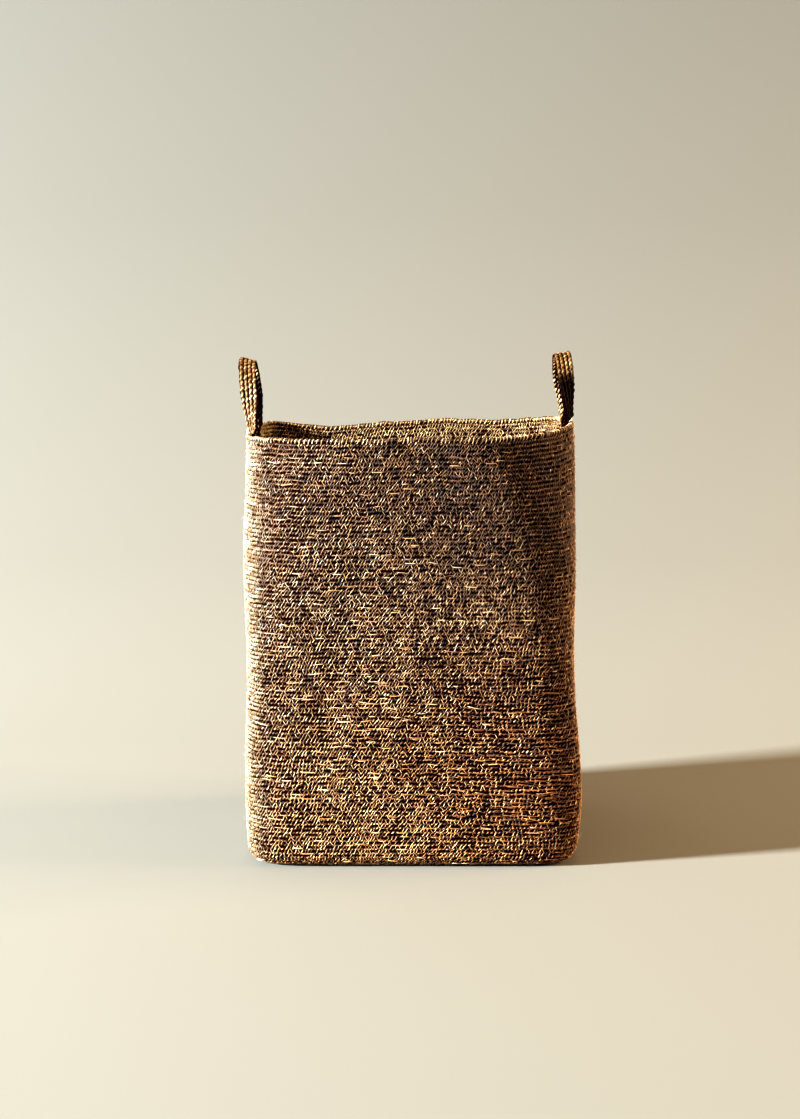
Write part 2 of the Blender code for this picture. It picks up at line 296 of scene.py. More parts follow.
class Strands:
    """Collects strands, with what the material reads from them, and turns them into one mesh."""

    def __init__(self):
        self.points, self.faces, self.tones, self.shades, self.strands = [], [], [], [], []
        self.count = 0

    def collect(self, points, faces, tones, shades, strand):
        """Takes in points and their faces. A face with -1 in its last place is a triangle."""
        self.points.append(points.reshape(-1, 3))
        self.faces.append(np.where(faces < 0, faces, faces + self.count))
        self.tones.append(tones)
        self.shades.append(shades)
        self.strands.append(strand.reshape(-1, 3))
        self.count += len(tones)

    def add(self, centre, first, second, thick, wide, tone, along, sides=PLY_SIDES, closed=False,
            middle=None, outward=None):
        """A tube whose section is an ellipse, thick along first and wide along second.

        With the cord's middle and outward direction, the faces deep in the cord get painted shade.
        """
        number = len(centre)
        turn = math.tau * (np.arange(sides) + 0.5) / sides
        thick, wide = (np.broadcast_to(size, (number,))[:, None, None] for size in (thick, wide))
        ring = centre[:, None, :]
        ring = ring + first[:, None, :] * np.cos(turn)[None, :, None] * thick
        ring = ring + second[:, None, :] * np.sin(turn)[None, :, None] * wide
        low = np.arange(number if closed else number - 1)[:, None] * sides
        high = ((low // sides + 1) % number) * sides
        side = np.arange(sides)[None, :]
        after = (side + 1) % sides
        quads = np.stack([low + side, low + after, high + after, high + side], axis=-1)
        faces = [quads.reshape(-1, 4)] + ([] if closed else tube_caps(number, sides))
        shade = np.ones(number * sides)
        # Painted shade: the deeper a face lies in the cord, the darker its colour, through the shade
        # attribute.
        if middle is not None:
            height = np.abs(np.sum((ring - middle[:, None, :]) * outward[:, None, :], axis=-1))
            shade = smooth((height - HOLE_DEPTH) / (CREST_DEPTH - HOLE_DEPTH)).ravel()
        tones = np.repeat(np.broadcast_to(tone, (number,)), sides)
        identity = np.full(number * sides, rng.uniform(0.0, 100.0))
        around = np.tile(turn / math.tau, number)
        strand = np.stack([np.repeat(along, sides), around, identity], axis=-1)
        self.collect(ring, np.concatenate(faces), tones, shade, strand)

    def build(self, name, material):
        """An object of that name, made of all the strands collected so far."""
        points = np.concatenate(self.points)
        faces = np.concatenate(self.faces)
        sizes = np.where(faces[:, 3] < 0, 3, 4)
        corners = faces.ravel()
        corners = corners[corners >= 0]
        mesh = bpy.data.meshes.new(name)
        mesh.vertices.add(len(points))
        mesh.vertices.foreach_set("co", points.astype(np.float32).ravel())
        mesh.loops.add(len(corners))
        mesh.loops.foreach_set("vertex_index", corners.astype(np.int32))
        mesh.polygons.add(len(sizes))
        starts = np.concatenate([[0], np.cumsum(sizes)[:-1]])
        mesh.polygons.foreach_set("loop_start", starts.astype(np.int32))
        mesh.update(calc_edges=True)
        for label, kind, field, values in (
            ("tone", "FLOAT", "value", self.tones),
            ("shade", "FLOAT", "value", self.shades),
            ("strand", "FLOAT_VECTOR", "vector", self.strands),
        ):
            attribute = mesh.attributes.new(label, kind, "POINT")
            attribute.data.foreach_set(field, np.concatenate(values).astype(np.float32).ravel())
        mesh.shade_smooth()
        mesh.validate()
        return place_mesh(name, mesh, material)


def tube_caps(number, sides):
    """Faces that close a tube's two ends: quads for four sides, and fans of triangles otherwise."""
    start = np.arange(sides)
    caps = []
    for ring in (start[::-1], start + (number - 1) * sides):
        if sides == 4:
            caps.append(ring[None, :])
        else:
            caps += [np.array([[ring[0], ring[n], ring[n + 1], -1]]) for n in range(1, sides - 1)]
    return caps


def place_mesh(name, mesh, material):
    """An object of that name in the scene, with the mesh and its material."""
    mesh.materials.append(material)
    piece = bpy.data.objects.new(name, mesh)
    bpy.context.scene.collection.objects.link(piece)
    return piece


def splice_tones(length, count, spread, middle):
    """Tone along a ply: each blade of grass has its own, and gives way to the next."""
    blades = max(int(length / BLADE_LENGTH), 2)
    joints = np.sort(rng.uniform(0.0, length, blades))
    tones = np.clip(rng.normal(middle, spread, blades + 1), 0.0, 1.0)
    along = np.linspace(0.0, length, count)
    return tones[np.searchsorted(joints, along)]


def twist_phase(along, turns, slack):
    """Angle of the twist along a closed row. Where slack is more than 0, the twist is looser."""
    rate = math.tau * turns / along[-1]
    lost = 0.5 * (slack[1:] + slack[:-1]) * np.diff(along)
    lost = np.concatenate([[0.0], np.cumsum(lost)])
    phase = rate * (along - lost)
    if lost[-1] > 0.0:
        missing = round(phase[-1] / math.tau) * math.tau - phase[-1]
        phase = phase + missing * lost / lost[-1]
    return phase


def resample(grid, values, wanted):
    """Values at the wanted places of a grid, for one number or a vector at each place."""
    if values.ndim == 1:
        return np.interp(wanted, grid, values)
    columns = [np.interp(wanted, grid, values[:, column]) for column in range(values.shape[1])]
    return np.stack(columns, axis=-1)


def lengths_along(centre):
    spacing = np.linalg.norm(np.diff(centre, axis=0), axis=1)
    return np.concatenate([[0.0], np.cumsum(spacing)])


def add_cord(strands, path, phase, closed, scale=1.0, start=None, steps=STEPS_PER_TWIST,
             sides=PLY_SIDES, middle=0.5, ends=0.0, spread=0.10, stitch_spread=0.26, core=0.0):
    """A two-ply cord along a path of centres, tangents, across directions and outward directions.

    phase is the angle of the twist along the path. middle, spread and stitch_spread are of tone.
    The cord tapers over the length ends at its two ends. core is the radius of a filling strand.
    """
    along = lengths_along(path[0])
    count = int(round(phase[-1] / math.tau * steps))
    wanted = np.linspace(0.0, phase[-1], count + (0 if closed else 1), endpoint=not closed)
    place = resample(phase, along, wanted)
    centre = resample(along, path[0], place)
    tangent, across, outward = (unit(resample(along, directions, place)) for directions in path[1:])
    taper = np.ones(len(place))
    if ends > 0.0:
        taper = 0.35 + 0.65 * smooth(np.minimum(place, along[-1] - place) / ends)
    if start is None:
        start = rng.uniform(0.0, math.tau)
    if core > 0.0:
        strands.add(centre, outward, across, core * taper, core * taper, 0.3, place, sides, closed,
                    middle=centre - outward * 0.5 * core, outward=outward)
    for ply in range(2):
        turn = wanted + start + math.pi * ply
        stitch = np.floor((wanted + math.pi * ply) / math.tau + 0.25).astype(int)
        stitch = stitch % (stitch.max() + (0 if closed else 1))
        stitches = stitch.max() + 1
        jitter = 1.0 + rng.normal(0.0, STITCH_UNEVENNESS, stitches)[stitch]
        jitter = jitter + rng.normal(0.0, PLY_UNEVENNESS, len(place))
        jitter = np.convolve(np.concatenate([jitter[-1:], jitter, jitter[:1]]), [0.25, 0.5, 0.25], "valid")
        sine, cosine = np.sin(turn)[:, None], np.cos(turn)[:, None]
        radial = across * sine + outward * cosine
        sideways = across * cosine - outward * sine
        orbit = across * sine * PLY_ORBIT_ACROSS + outward * cosine * PLY_ORBIT_DEEP
        middle_line = centre + orbit * scale * (jitter * taper)[:, None]
        lead = np.gradient(place) / np.gradient(wanted)
        heading = unit(tangent * lead[:, None] + sideways * PLY_ORBIT_DEEP * scale)
        flank = np.cross(radial, heading)
        thick = PLY_THICK * scale * taper * jitter
        wide = PLY_WIDE * scale * taper * (2.0 - jitter)
        tone = splice_tones(along[-1], len(place), spread, middle)
        tone = tone + rng.normal(0.0, stitch_spread, stitches)[stitch]
        strands.add(middle_line, radial, flank, thick, wide, tone, place, sides, closed,
                    middle=centre, outward=outward)


def add_strokes(strands, lines, outward, half_width, tones):
    """Many short strands, each a row of the same number of points, with three flat faces."""
    number, steps = lines.shape[:2]
    heading = unit(np.gradient(lines, axis=1))
    flank = unit(np.cross(heading, outward))
    lift = outward * half_width[:, None, None] * 0.8
    width = flank * half_width[:, None, None]
    ring = np.stack([lines + width - lift, lines + lift, lines - width - lift], axis=2)
    index = np.arange(number * steps * 3).reshape(number, steps, 3)
    low, high = index[:, :-1], index[:, 1:]
    quads = np.stack([low, np.roll(low, -1, 2), np.roll(high, -1, 2), high], axis=-1)
    ends = np.concatenate([index[:, 0, ::-1], index[:, -1]])
    ends = np.pad(ends, ((0, 0), (0, 1)), constant_values=-1)
    faces = np.concatenate([quads.reshape(-1, 4), ends])
    place = np.arange(steps)[None, :, None] * 0.002
    turn = np.arange(3)[None, None, :] / 3.0
    identity = rng.uniform(0.0, 100.0, number)[:, None, None]
    strand = np.stack(np.broadcast_arrays(place, turn, identity), axis=-1)
    strands.collect(ring, faces, np.repeat(tones, steps * 3), np.ones(ring.size // 3), strand)


# ---- materials


def ramp(tree, value, stops):
    """Colour of the ramp at a value."""
    node = tree.nodes.new("ShaderNodeValToRGB")
    elements = node.color_ramp.elements
    while len(elements) < len(stops):
        elements.new(0.5)
    for element, (position, colour) in zip(elements, stops):
        element.position = position
        element.color = (*colour, 1.0)
    tree.links.new(value, node.inputs["Fac"])
    return node.outputs["Color"]


def fill(tree, sockets, values):
    """Gives each socket its value, or a link to the output that has it."""
    for socket, value in zip(sockets, values):
        if isinstance(value, (int, float, tuple)):
            socket.default_value = value
        else:
            tree.links.new(value, socket)


def maths(tree, operation, *values):
    node = tree.nodes.new("ShaderNodeMath")
    node.operation = operation
    fill(tree, node.inputs, values)
    return node.outputs[0]


def noise(tree, vector, stretch, detail):
    """Noise whose grain is finer along an axis the larger that axis's stretch."""
    mapping = tree.nodes.new("ShaderNodeMapping")
    mapping.inputs["Scale"].default_value = stretch
    tree.links.new(vector, mapping.inputs["Vector"])
    node = tree.nodes.new("ShaderNodeTexNoise")
    node.inputs["Scale"].default_value = 1.0
    node.inputs["Detail"].default_value = detail
    tree.links.new(mapping.outputs["Vector"], node.inputs["Vector"])
    return node.outputs["Fac"]


def tinted(tree, share, colour, tint):
    """The colour times the tint, as far as share says."""
    node = tree.nodes.new("ShaderNodeMix")
    node.data_type = "RGBA"
    node.blend_type = "MULTIPLY"
    if isinstance(tint, tuple):
        tint = (*tint, 1.0)
    sockets = [socket for socket in node.inputs if socket.enabled]
    fill(tree, sockets, (share, colour, tint))
    return [socket for socket in node.outputs if socket.enabled][0]


def between(tree, value, start, end, low=0.0, high=1.0, kind="SMOOTHSTEP"):
    """low at start and high at end, smoothly unless another kind is asked for, and no farther."""
    node = tree.nodes.new("ShaderNodeMapRange")
    node.interpolation_type = kind
    fill(tree, node.inputs, (value, start, end, low, high))
    return node.outputs[0]


def attribute(tree, name):
    node = tree.nodes.new("ShaderNodeAttribute")
    node.attribute_name = name
    return node


def painted_light_and_shade(tree, place):
    """Painted light on the left, and painted shade up on the right, made less by painted light on the back
    wall and by a lighter tone low on the front.
    """
    split = tree.nodes.new("ShaderNodeSeparateXYZ")
    tree.links.new(place, split.inputs[0])
    x, y, z = split.outputs
    painted_left_light = between(tree, x, -0.138, -0.168)
    right = between(tree, x, -0.06, 0.13)
    # Painted shade on the right, most of all near the rim, and a little near the rim everywhere on the
    # front.
    painted_shade = maths(tree, "MULTIPLY", right, maths(tree, "ADD", between(tree, z, 0.24, 0.44), 0.45))
    upper = maths(tree, "MULTIPLY", between(tree, z, 0.26, 0.42), 0.55)
    upper = maths(tree, "MULTIPLY", upper, maths(tree, "SUBTRACT", 1.0, painted_left_light))
    painted_shade = maths(tree, "MINIMUM", maths(tree, "ADD", painted_shade, upper), 1.25)
    painted_shade = maths(tree, "MULTIPLY", painted_shade, between(tree, y, 0.02, -0.10))
    # Painted light on the back wall, and a lighter tone low on the front between the painted light on the
    # left edge and the painted shade on the right.
    painted_back_light = maths(tree, "MULTIPLY", between(tree, y, 0.05, 0.14), 0.75)
    painted_back_light = maths(tree, "MULTIPLY", painted_back_light, between(tree, x, -0.10, 0.0))
    low = maths(tree, "MULTIPLY", between(tree, z, 0.20, 0.04), 0.35)
    low = maths(tree, "MULTIPLY", low, maths(tree, "SUBTRACT", 1.0, maths(tree, "MAXIMUM", painted_left_light, right)))
    return painted_left_light, maths(tree, "SUBTRACT", maths(tree, "SUBTRACT", painted_shade, painted_back_light), low)


def foot_tint_and_painted_light(tree, place, painted_left_light, colour):
    """Orange-brown toward the foot, and painted light: grey-pale on the left, and golden on the back wall.
    """
    split = tree.nodes.new("ShaderNodeSeparateXYZ")
    tree.links.new(place, split.inputs[0])
    low = between(tree, split.outputs["Z"], 0.30, 0.02, 0.0, 0.75, "LINEAR")
    away_from_left_light = maths(tree, "MULTIPLY_ADD", painted_left_light, -0.7, 1.0)
    colour = tinted(tree, maths(tree, "MULTIPLY", low, away_from_left_light), colour, (1.38, 1.12, 0.70))
    colour = tinted(tree, painted_left_light, colour, (0.49, 0.54, 0.60))
    return tinted(tree, between(tree, split.outputs["Y"], 0.05, 0.14), colour, (1.0, 0.93, 0.66))


# Painted shade: tint of the deepest faces of a cord, of those half-way out and of the crests.
PAINTED_HOLE_SHADE = (
    (0.0, (0.06, 0.010, 0.002)),
    (0.5, (0.060, 0.020, 0.006)),
    (1.0, (1.0, 1.0, 1.0)),
)


def grass_material(name, stops, paint_light_and_foot_tint=True, brightness=1.0, sheen=1.0):
    """Dry grass: each blade's tone, fine fibres along it, slow changes over the basket, painted shade deep
    in the cords, and painted light and shade over the basket.
    """
    material = bpy.data.materials.new(name)
    material.use_nodes = True
    tree = material.node_tree
    shader = tree.nodes["Principled BSDF"]
    place = tree.nodes.new("ShaderNodeTexCoord").outputs["Object"]
    shade = attribute(tree, "shade").outputs["Fac"]

    fibre = noise(tree, attribute(tree, "strand").outputs["Vector"], (450.0, 12.0, 1.0), 3.0)
    streak = noise(tree, place, (36.0, 36.0, 230.0), 2.0)
    patch = noise(tree, place, (5.0, 5.0, 9.0), 2.0)
    painted_left_light, painted_shade = painted_light_and_shade(tree, place) if paint_light_and_foot_tint else (0.0, 0.0)
    value = maths(tree, "MULTIPLY_ADD", fibre, 0.90, -0.45)
    value = maths(tree, "ADD", value, attribute(tree, "tone").outputs["Fac"])
    # Painted light on the left lifts the tone, and painted shade lowers it.
    value = maths(tree, "ADD", value, maths(tree, "MULTIPLY", painted_left_light, 0.10))
    value = maths(tree, "SUBTRACT", value, maths(tree, "MULTIPLY", painted_shade, 0.30))
    for field, weight in ((streak, 0.46), (patch, 0.22)):
        shift = maths(tree, "MULTIPLY", maths(tree, "SUBTRACT", field, 0.5), weight)
        value = maths(tree, "ADD", value, shift)
    # Where light is painted on the left, the holes get no painted shade.
    light = maths(tree, "MAXIMUM", shade, maths(tree, "MULTIPLY", painted_left_light, 0.90))
    colour = tinted(tree, 1.0, ramp(tree, value, stops), ramp(tree, light, PAINTED_HOLE_SHADE))
    if paint_light_and_foot_tint:
        colour = foot_tint_and_painted_light(tree, place, painted_left_light, colour)
    if brightness != 1.0:
        colour = tinted(tree, 1.0, colour, (brightness,) * 3)
    tree.links.new(colour, shader.inputs["Base Color"])

    rough = between(tree, fibre, 0.0, 1.0, 0.32, 0.60, "LINEAR")
    tree.links.new(rough, shader.inputs["Roughness"])
    tree.links.new(maths(tree, "MULTIPLY", shade, sheen), shader.inputs["Specular IOR Level"])
    bump = tree.nodes.new("ShaderNodeBump")
    bump.inputs["Strength"].default_value = 0.6
    bump.inputs["Distance"].default_value = 0.0002
    tree.links.new(fibre, bump.inputs["Height"])
    tree.links.new(bump.outputs["Normal"], shader.inputs["Normal"])
    return material


def make_materials():
    """A material for each kind of cord, from a ramp of its colours from the darkest grass to the palest."""
    grass = (
        (0.00, (0.060, 0.018, 0.005)),
        (0.28, (0.185, 0.070, 0.017)),
        (0.50, (0.405, 0.186, 0.061)),
        (0.72, (0.690, 0.428, 0.216)),
        (1.00, (0.945, 0.790, 0.620)),
    )
    shade_shell = ((0.0, (0.006, 0.001, 0.0002)), (1.0, (0.016, 0.003, 0.0005)))
    strap = (
        (0.00, (0.060, 0.026, 0.010)),
        (0.28, (0.190, 0.098, 0.040)),
        (0.50, (0.370, 0.225, 0.110)),
        (0.72, (0.640, 0.470, 0.290)),
        (1.00, (0.900, 0.780, 0.610)),
    )
    twine = ((0.0, (0.30, 0.20, 0.11)), (1.0, (0.70, 0.56, 0.37)))
    return {
        "wall": grass_material("seagrass_cord", grass),
        "base": grass_material("seagrass_base_cord", grass),
        "strap": grass_material(
            "seagrass_strap_cord", strap, paint_light_and_foot_tint=False, brightness=0.74, sheen=0.1
        ),
        "shade_shell": grass_material("painted_shade_shell", shade_shell, paint_light_and_foot_tint=False, sheen=0.0),
        "twine": grass_material("grass_twine", twine, paint_light_and_foot_tint=False),
    }


# ---- pieces


def wall_length():
    """Length of the wall's profile, from the base's edge to under the rim row."""
    return 0.5 * math.pi * FOOT_CURL + HEIGHT - FOOT_CURL - 2.0 * RIM_ROW_RADIUS


def loose_twist(angle, distance):
    """How much looser than elsewhere the twist is."""
    side = smooth(1.0 - apart(angle, LOOSE_ANGLE) / LOOSE_HALF_WIDTH)
    low = smooth(1.0 - abs(distance - LOOSE_HEIGHT) / LOOSE_HALF_HEIGHT)
    return LOOSE_TWIST * side * low


def wall_rows():
    """How far up the profile each row's middle is."""
    length = wall_length()
    count = int(round(length / ROW_PITCH))
    return (np.arange(count) + 0.5) * length / count


def in_pieces(name, count, rows_per_piece, add_row, material):
    """Pieces of a few rows each. add_row adds the row of a number to the strands."""
    pieces = []
    for first in range(0, count, rows_per_piece):
        strands = Strands()
        for row in range(first, min(first + rows_per_piece, count)):
            add_row(strands, row)
        pieces.append(strands.build(f"{name}_{first // rows_per_piece + 1:02d}", material))
    return pieces


def row_phase(row, distance, along, angle):
    """Twist of one row along it, and where it starts: its stitches sit a little to the right of
    those of the row below.
    """
    phase = twist_phase(along, ROUND_TWISTS, loose_twist(angle, distance))
    drift = twist_wander.at(angle, np.full_like(angle, distance))
    lean = row * ROW_LEAN / TWIST_PITCH * math.tau
    for beat in (2.4, 5.1):
        lean = lean + LEAN_WANDER * math.sin(row * beat)
    return phase + drift - drift[0], drift[0] - lean


def make_wall(materials):
    """The closed rows of cord, one on another."""
    rows = wall_rows()

    def add_row(strands, row):
        *path, angle = wall_ring(rows[row], WALL / 2)
        phase, start = row_phase(row, rows[row], lengths_along(path[0]), angle)
        add_cord(strands, path, phase, True, start=start, middle=rng.normal(*WALL_TONE))

    return in_pieces("wall_rows", len(rows), ROWS_PER_PIECE, add_row, materials["wall"])


def add_stitches(strands, row, rows, face):
    """Strands that cross from one row to the next on one face of the wall, 1 outer or -1 inner."""
    distance, pitch = rows[row], rows[row + 1] - rows[row]
    centre, _, _, outward, angle = wall_ring(distance, 0.0)
    along = lengths_along(centre)
    phase, start = row_phase(row, distance, along, angle)
    first = 0.6 * math.pi - start % math.pi
    wanted = np.arange(1, int(phase[-1] / math.pi)) * math.pi + first
    lean = np.where(np.arange(len(wanted)) % 2 == 0, 1.0, -1.0)
    lean = np.where(rng.random(len(wanted)) < ODD_LEANS, 1.0, lean)
    wanted = wanted + rng.normal(0.0, 0.30, len(wanted))
    loose = loose_twist(resample(phase, angle, wanted), distance)
    kept = rng.random(len(wanted)) < STITCH_SHARE * (1.0 - 1.2 * loose)
    place = resample(phase, along, wanted[kept])
    out = unit(resample(along, outward, place))
    # Along a strand: how far it is from one row to the next, and how far below the wall's face.
    share = np.array([-0.02, 0.24, 0.50, 0.76, 1.02])
    depth = np.array([0.0016, 0.0008, 0.0006, 0.0008, 0.0016])
    if face < 0:
        share, depth = share[::2], WALL - depth[::2]
    run = face * STITCH_RUN * lean[kept] * rng.uniform(0.6, 1.25, len(place))
    spots = resample(along, angle, (place[:, None] + run[:, None] * (share - 0.5)).ravel())
    levels = np.tile(distance + share * pitch, len(place))
    lines = outer_point(spots, levels).reshape(len(place), len(share), 3)
    lines = lines - out[:, None, :] * depth[None, :, None]
    half = rng.uniform(0.00015, 0.00030, len(place))
    tones = np.clip(rng.normal(*STITCH_TONE, len(place)), 0.1, 1.15)
    add_strokes(strands, lines, np.broadcast_to(face * out[:, None, :], lines.shape), half, tones)


def make_wall_stitches(materials):
    """Thin strands that cross from each row to the next, most of them between the twists."""
    rows = wall_rows()

    def add_row(strands, row):
        for face in (1, -1):
            add_stitches(strands, row, rows, face)

    return in_pieces("wall_stitches", len(rows) - 1, STITCH_ROWS_PER_PIECE, add_row, materials["wall"])


def add_floats(strands, rows, number, slant, thickness, tone, angle=None, height=None):
    """Blades of one group: all over the wall, or around an angle and a height."""
    # Every group makes these two draws, even where the next two take their place.
    spots = rng.uniform(-math.pi, math.pi, number)
    level = rng.uniform(0.02, 0.98, number)
    if angle is not None:
        spots = rng.normal(*angle, number)
        level = np.clip(rng.normal(*height, number), 0.02, 0.95)
    side = plan_normal(spots)
    half_length = rng.uniform(0.0020, 0.0070, number)
    slope = rng.normal(slant, 0.05, number)
    share = np.linspace(-1.0, 1.0, 9)
    spots = spots[:, None] + (half_length / MEAN_RADIUS)[:, None] * share
    levels = rows[(level * len(rows)).astype(int)] + rng.uniform(-0.0012, 0.0012, number)
    levels = levels[:, None] + (slope * half_length)[:, None] * share
    lines = outer_point(spots.ravel(), levels.ravel()).reshape(number, len(share), 3)
    lines = lines - side[:, None, :] * (0.0002 + 0.0016 * share**6)[None, :, None]
    half = thickness * rng.uniform(0.00022, 0.00044, number)
    tones = np.clip(rng.normal(*tone, number), 0.1, 1.1)
    add_strokes(strands, lines, np.broadcast_to(side[:, None, :], lines.shape), half, tones)


def make_floats(materials):
    """Near-level blades whose middles lie on the outer face and whose ends tuck into it."""
    strands = Strands()
    for group in LOOSE_BLADES:
        add_floats(strands, wall_rows(), **group)
    return strands.build("loose_blades", materials["wall"])


def plan_normal(angle):
    """Outward level direction of the wall at the angles, half-way up it."""
    share = np.full_like(angle, 0.5)
    run = plan_point(angle + PROBE, share, 0.0) - plan_point(angle - PROBE, share, 0.0)
    return unit(np.stack([run[:, 1], -run[:, 0], 0.0 * angle], axis=-1))


def make_shade_shell(name, face, material):
    """A near-black thin closed shell between two faces that closes the gaps between rows with painted shade.

    face gives a grid of points at a depth, and the grid's columns close on themselves.
    """
    outer, inner = face(WALL / 2 - SHADE_SHELL_HALF), face(WALL / 2 + SHADE_SHELL_HALF)
    grids = np.concatenate([outer, inner[::-1]], axis=0)
    index = np.arange(grids.size // 3).reshape(grids.shape[:2])
    high = np.roll(index, -1, axis=0)
    quads = np.stack([index, np.roll(index, -1, 1), np.roll(high, -1, 1), high], axis=-1)
    strands = Strands()
    strands.collect(grids, quads.reshape(-1, 4), np.full(index.size, 0.4), np.ones(index.size), grids)
    return strands.build(name, material)


def wall_shade_shell_face(depth):
    distances = np.linspace(0.004, wall_length() + 0.0026, 61)
    return np.stack([wall_ring(distance, depth)[0][:-1:5] for distance in distances])


def base_shade_shell_face(height):
    angle = np.linspace(0.0, math.tau, 145)[:-1]
    foot = np.zeros_like(angle)
    rings = []
    for inset in np.linspace(REACH["front"][0] - 0.0004, FOOT_CURL - 0.001, 12):
        plan = plan_point(angle, foot, foot + inset, foot + SHADE_SHELL_SQUARENESS)
        rings.append(np.concatenate([plan, np.full((len(plan), 1), height)], axis=1))
    return np.stack(rings)


def base_ring(inset):
    """One closed row of the base, flat on the floor, and rounder the nearer it is to the middle."""
    angle = ring_angles()
    size = 1.0 - inset / REACH["front"][0]
    squareness = BASE_CORE_SQUARENESS + (FOOT_SQUARENESS - BASE_CORE_SQUARENESS) * size**1.5
    plan = plan_point(angle, np.zeros_like(angle), np.full_like(angle, inset), squareness)
    here = np.concatenate([plan, np.full((len(plan), 1), WALL / 2)], axis=1)
    tangent = ring_tangent(here)
    down = np.broadcast_to(np.array([0.0, 0.0, -1.0]), tangent.shape)
    across = np.cross(down, tangent)
    return here, tangent, across, down


def make_base(materials):
    """Closed rows of cord, one inside the other, and a short straight cord in the middle."""
    strands = Strands()
    inset = FOOT_CURL + 0.3 * ROW_PITCH
    while inset < REACH["front"][0] - 1.2 * ROW_PITCH:
        path = base_ring(inset)
        along = lengths_along(path[0])
        phase = twist_phase(along, round(along[-1] / TWIST_PITCH), 0.0 * along)
        add_cord(strands, path, phase, True, scale=BASE_SCALE, steps=7, middle=BASE_TONE)
        inset += ROW_PITCH
    inner = base_ring(inset - ROW_PITCH)[0]
    x = np.linspace(inner[:, 0].min(), inner[:, 0].max(), 24)
    y = 0.5 * (inner[:, 1].min() + inner[:, 1].max())
    core = np.stack([x, 0.0 * x + y, 0.0 * x + WALL / 2], axis=1)
    path = (core, *(np.broadcast_to(direction, core.shape) for direction in np.eye(3)))
    phase = lengths_along(core) * math.tau / TWIST_PITCH
    add_cord(strands, path, phase, False, scale=1.25 * BASE_SCALE, steps=12, middle=BASE_TONE)
    return strands.build("base_rows", materials["base"])


def rim_path():
    """Centre line and frame of the rim row, which lies on the last row of the wall."""
    return wall_ring(wall_length() + RIM_ROW_RADIUS, WALL / 2)[:4]


def make_rim(materials):
    """The thicker last row of cord."""
    strands = Strands()
    path = rim_path()
    along = lengths_along(path[0])
    phase = twist_phase(along, ROUND_TWISTS, 0.0 * along)
    add_cord(strands, path, phase, True, scale=1.02, sides=5, middle=0.44)
    return strands.build("rim_row_cord", materials["wall"])


def make_whip_stitch(materials):
    """A strand wrapped round and round the rim row, unevenly, so that it shows as small dashes."""
    centre, _, upward, outward = rim_path()
    along = lengths_along(centre)
    turns, steps = int(round(along[-1] / WHIP_PITCH)), 10
    count = turns * steps
    place = np.linspace(0.0, along[-1], count, endpoint=False)
    uneven = np.convolve(np.tile(rng.normal(0.0, 0.0024, turns), 3), np.ones(3) / 3.0, "same")
    place = place + np.interp(np.arange(count) / steps, np.arange(turns), uneven[turns:2 * turns])
    place = np.clip(place, 0.0, along[-1])
    turn = math.tau * np.arange(count) / steps
    middle = resample(along, centre - upward * WHIP_DROP, place)
    up = resample(along, upward, place)
    out = resample(along, outward, place)
    # It is smaller and darker on the back most of all, and on the right not at all.
    quiet = np.maximum(2.0 * smooth(outward[:, 1] / 0.5), 0.5 * smooth((0.25 - outward[:, 0]) / 0.5))
    quiet = np.repeat(resample(along, quiet, place)[::steps], steps)
    size = 1.0 + 0.05 * np.repeat(rng.normal(0.0, 1.0, turns), steps) - 0.10 * quiet
    line = middle + up * (WHIP_HIGH * np.sin(turn) * size)[:, None]
    line = line + out * (WHIP_DEEP * np.cos(turn) * size)[:, None]
    heading = unit(np.roll(line, -1, axis=0) - np.roll(line, 1, axis=0))
    radial = unit(line - middle)
    radial = unit(radial - heading * np.sum(radial * heading, axis=1, keepdims=True))
    flank = np.cross(radial, heading)
    tone = np.repeat(np.clip(rng.normal(*WHIP_TONE, turns), 0.0, 1.2), steps) - 0.22 * quiet
    wide = np.repeat(rng.uniform(0.00026, 0.00062, turns), steps) * (1.0 + 0.2 * quiet)
    strands = Strands()
    strands.add(line, radial, flank, WHIP_THICK, wide, tone, place, sides=4, closed=True)
    return strands.build("rim_whip_stitch", materials["wall"])


def hinge_point(side):
    """Where the frame has the hinge of a handle."""
    joint = next(j for j in frame["joints"] if j["child"] == f"{side}_handle")
    return np.array(joint["pos_m"], float)


